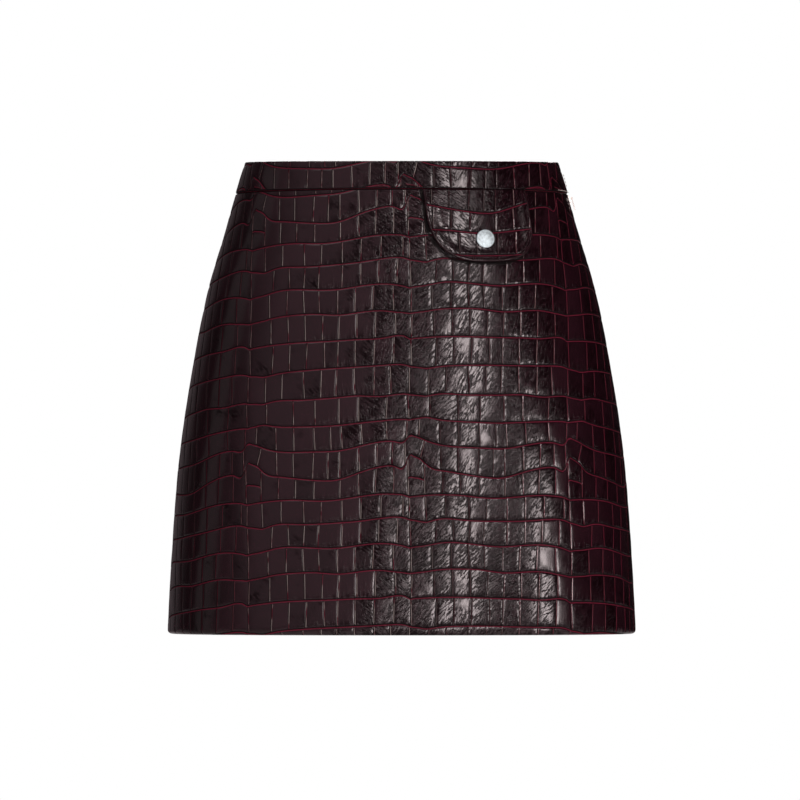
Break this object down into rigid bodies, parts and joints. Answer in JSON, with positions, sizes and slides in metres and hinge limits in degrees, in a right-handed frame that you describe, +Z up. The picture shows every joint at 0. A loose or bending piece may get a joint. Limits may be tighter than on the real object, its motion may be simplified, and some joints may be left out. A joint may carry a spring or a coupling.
{
  "type": "leather skirt",
  "caption": "A-line mini skirt in crocodile-embossed leather, in its hollow worn form, with a waistband, a coin pocket flap with a domed snap, and a side zip with a swinging pull tab.",
  "frame": {"origin": "middle of the waist opening in the plane of its top edge, where the wearer's waist holds the skirt", "axes": "+Z up, -Y to the front, +X to the wearer's left"},
  "size_m": [0.4212, 0.2678, 0.4239],
  "materials": {
    "croc_leather": "glossy oxblood leather with an embossed crocodile pattern",
    "snap_metal": "brushed",
    "zip_tape": "woven tape with a metal chain",
    "zip_metal": "polished"
  },
  "bodies": {
    "skirt": {"front_panel": "croc_leather", "back_panel": "croc_leather", "waistband_front": "croc_leather", "waistband_back": "croc_leather", "pocket_flap": "croc_leather", "snap_cap": "snap_metal", "zip_chain": "zip_tape", "zip_slider": "zip_metal"},
    "pull_tab": {"zip_pull": "zip_metal"}
  },
  "joints": [
    {"name": "pull_tab_swing", "type": "hinge", "parent": "skirt", "child": "pull_tab", "pos_m": [0.153, 0, -0.0325], "axis": [0, -1, 0], "range_deg": [0, 150]}
  ]
}
